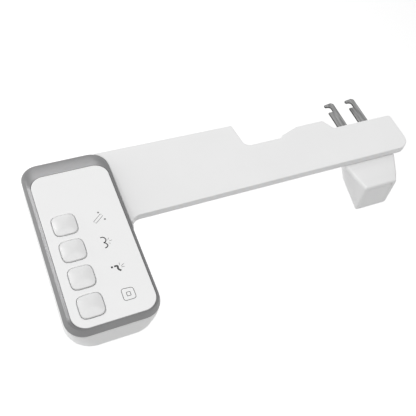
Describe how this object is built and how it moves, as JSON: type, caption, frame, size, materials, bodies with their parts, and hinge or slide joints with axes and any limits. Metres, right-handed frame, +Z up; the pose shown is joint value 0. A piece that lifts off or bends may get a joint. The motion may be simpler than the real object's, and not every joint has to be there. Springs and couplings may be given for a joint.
{
  "type": "bidet attachment",
  "caption": "Slim bidet attachment: a side control pod with push buttons, a flat bar for the bowl rim, and a nozzle housing with telescopic spray rods behind a guard gate.",
  "frame": {"origin": "centre of the lower face of the rest pad beside the nozzle housing, where the bar lies on the bowl's rim", "axes": "+X along the bar away from the control pod, +Y to the back of the bowl, +Z up"},
  "size_m": [0.4292, 0.1938, 0.075],
  "materials": {
    "white_plastic": "smooth white moulding",
    "panel_white": "smooth white moulding with a soft sheen",
    "button_white": "smooth white moulding",
    "silver_trim": "satin silver coating on plastic",
    "steel": "brushed stainless steel",
    "brass": "plated brass",
    "rubber": "soft grey rubber",
    "hose_plastic": "translucent white tube",
    "circuit_board": "coated circuit board",
    "black_plastic": "dark moulding",
    "grey_plastic": "light grey moulding"
  },
  "bodies": {
    "housing": {"face_plate": "panel_white", "control_board": "circuit_board", "switch_1": "black_plastic", "switch_2": "black_plastic", "switch_3": "black_plastic", "switch_4": "black_plastic", "drive_motor": "steel", "gate_pin": "steel", "pod_hull": "white_plastic", "bezel_ring": "silver_trim", "panel_frame": "grey_plastic", "pod_screw_1": "steel", "pod_screw_2": "steel", "pod_screw_3": "steel", "pod_screw_4": "steel", "water_inlet": "brass", "inlet_seal": "rubber", "inlet_nut": "grey_plastic", "valve_block": "grey_plastic", "solenoid_rear_wash": "black_plastic", "solenoid_front_wash": "black_plastic", "power_inlet": "black_plastic", "bar_cover": "white_plastic", "bar_base": "white_plastic", "base_screw_1": "steel", "base_screw_2": "steel", "base_screw_3": "steel", "base_screw_4": "steel", "tongue_screw": "steel", "rest_pad_1": "rubber", "rest_pad_2": "rubber", "rest_pad_3": "rubber", "hook_left": "steel", "hook_right": "steel", "hook_clamp": "steel", "hook_screw_1": "steel", "hook_screw_2": "steel", "hook_screw_3": "steel", "hook_screw_4": "steel", "nozzle_housing": "white_plastic", "housing_screw_1": "steel", "housing_screw_2": "steel", "housing_screw_3": "steel", "housing_screw_4": "steel", "nozzle_guide": "grey_plastic", "hose_rear_wash": "hose_plastic", "hose_front_wash": "hose_plastic", "motor_lead": "black_plastic"},
    "button_stop": {"button_stop": "button_white"},
    "button_front_wash": {"button_front_wash": "button_white"},
    "button_rear_wash": {"button_rear_wash": "button_white"},
    "button_nozzle_clean": {"button_nozzle_clean": "button_white"},
    "wand_carriage": {"wand_carriage": "grey_plastic"},
    "spray_rod_rear": {"spray_rod_rear": "white_plastic"},
    "spray_rod_front": {"spray_rod_front": "white_plastic"},
    "drive_pinion": {"drive_pinion": "brass"},
    "guard_gate": {"guard_gate": "white_plastic"}
  },
  "joints": [
    {"name": "button_stop_press", "type": "slide", "parent": "housing", "child": "button_stop", "axis": [0, -0.0148, -0.9999], "range_m": [0, 0.002], "stiffness_N_per_m": 300},
    {"name": "button_front_wash_press", "type": "slide", "parent": "housing", "child": "button_front_wash", "axis": [0, -0.0148, -0.9999], "range_m": [0, 0.002], "stiffness_N_per_m": 300},
    {"name": "button_rear_wash_press", "type": "slide", "parent": "housing", "child": "button_rear_wash", "axis": [0, -0.0148, -0.9999], "range_m": [0, 0.002], "stiffness_N_per_m": 300},
    {"name": "button_nozzle_clean_press", "type": "slide", "parent": "housing", "child": "button_nozzle_clean", "axis": [0, -0.0148, -0.9999], "range_m": [0, 0.002], "stiffness_N_per_m": 300},
    {"name": "wand_slide", "type": "slide", "parent": "housing", "child": "wand_carriage", "axis": [0, -0.848, -0.5299], "range_m": [0, 0.023]},
    {"name": "rear_rod_slide", "type": "slide", "parent": "wand_carriage", "child": "spray_rod_rear", "axis": [0, -0.848, -0.5299], "range_m": [0, 0.02]},
    {"name": "front_rod_slide", "type": "slide", "parent": "wand_carriage", "child": "spray_rod_front", "axis": [0, -0.848, -0.5299], "range_m": [0, 0.02]},
    {"name": "pinion_spin", "type": "hinge", "parent": "housing", "child": "drive_pinion", "pos_m": [0.0544, -0.04672, -0.01296], "axis": [-1, 0, 0], "range_deg": [0, 236]},
    {"name": "gate_swing", "type": "hinge", "parent": "housing", "child": "guard_gate", "pos_m": [0.0544, -0.06341, -0.01241], "axis": [-1, 0, 0], "range_deg": [0, 76]}
  ],
  "couplings": [
    {"joint": "rear_rod_slide", "follows": "wand_slide", "ratio": 0.86956},
    {"joint": "front_rod_slide", "follows": "wand_slide", "ratio": 0.86956},
    {"joint": "pinion_spin", "follows": "wand_slide", "rad_per_m": 178.57},
    {"joint": "gate_swing", "follows": "wand_slide", "rad_per_m": 56.913}
  ]
}
